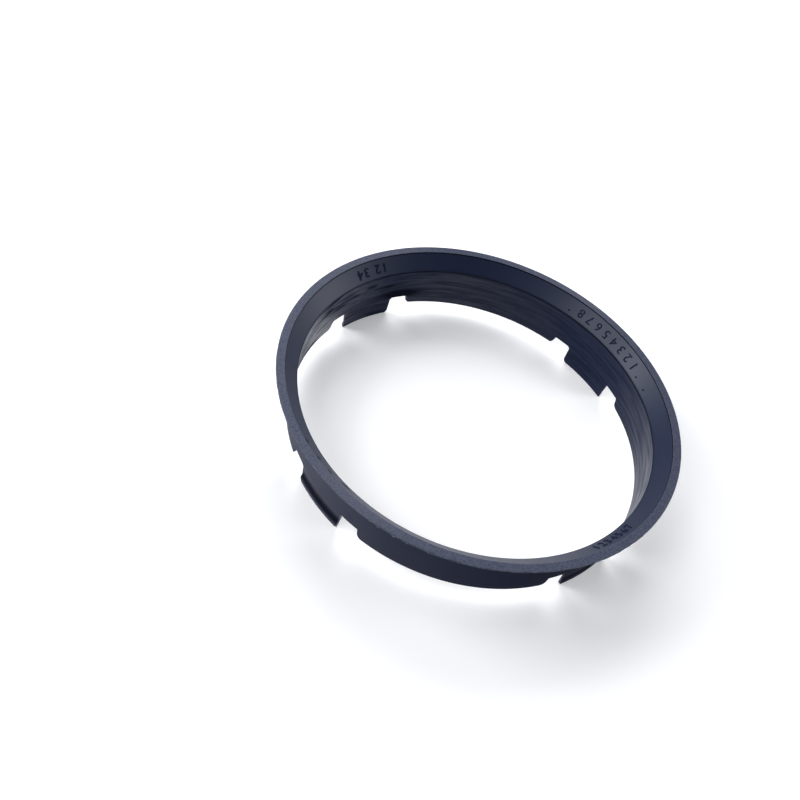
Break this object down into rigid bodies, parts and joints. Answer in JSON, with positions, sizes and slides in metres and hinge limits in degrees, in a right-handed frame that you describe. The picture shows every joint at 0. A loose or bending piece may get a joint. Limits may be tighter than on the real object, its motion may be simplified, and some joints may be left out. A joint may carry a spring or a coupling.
{
  "type": "hub centric ring",
  "caption": "Thin moulded plastic ring with a coned flange and spring tabs that centres a wheel on its hub.",
  "frame": {"origin": "on the ring's axis, in the plane of the tab tips that it stands on", "axes": "+Z along the axis from the tab tips to the flange, +Y toward the tabs' leading ends, +X the other way across between two tabs"},
  "size_m": [0.0816, 0.0816, 0.0149],
  "materials": {
    "dark_plastic": "satin moulded"
  },
  "bodies": {
    "root": {"ring": "dark_plastic"}
  },
  "joints": []
}
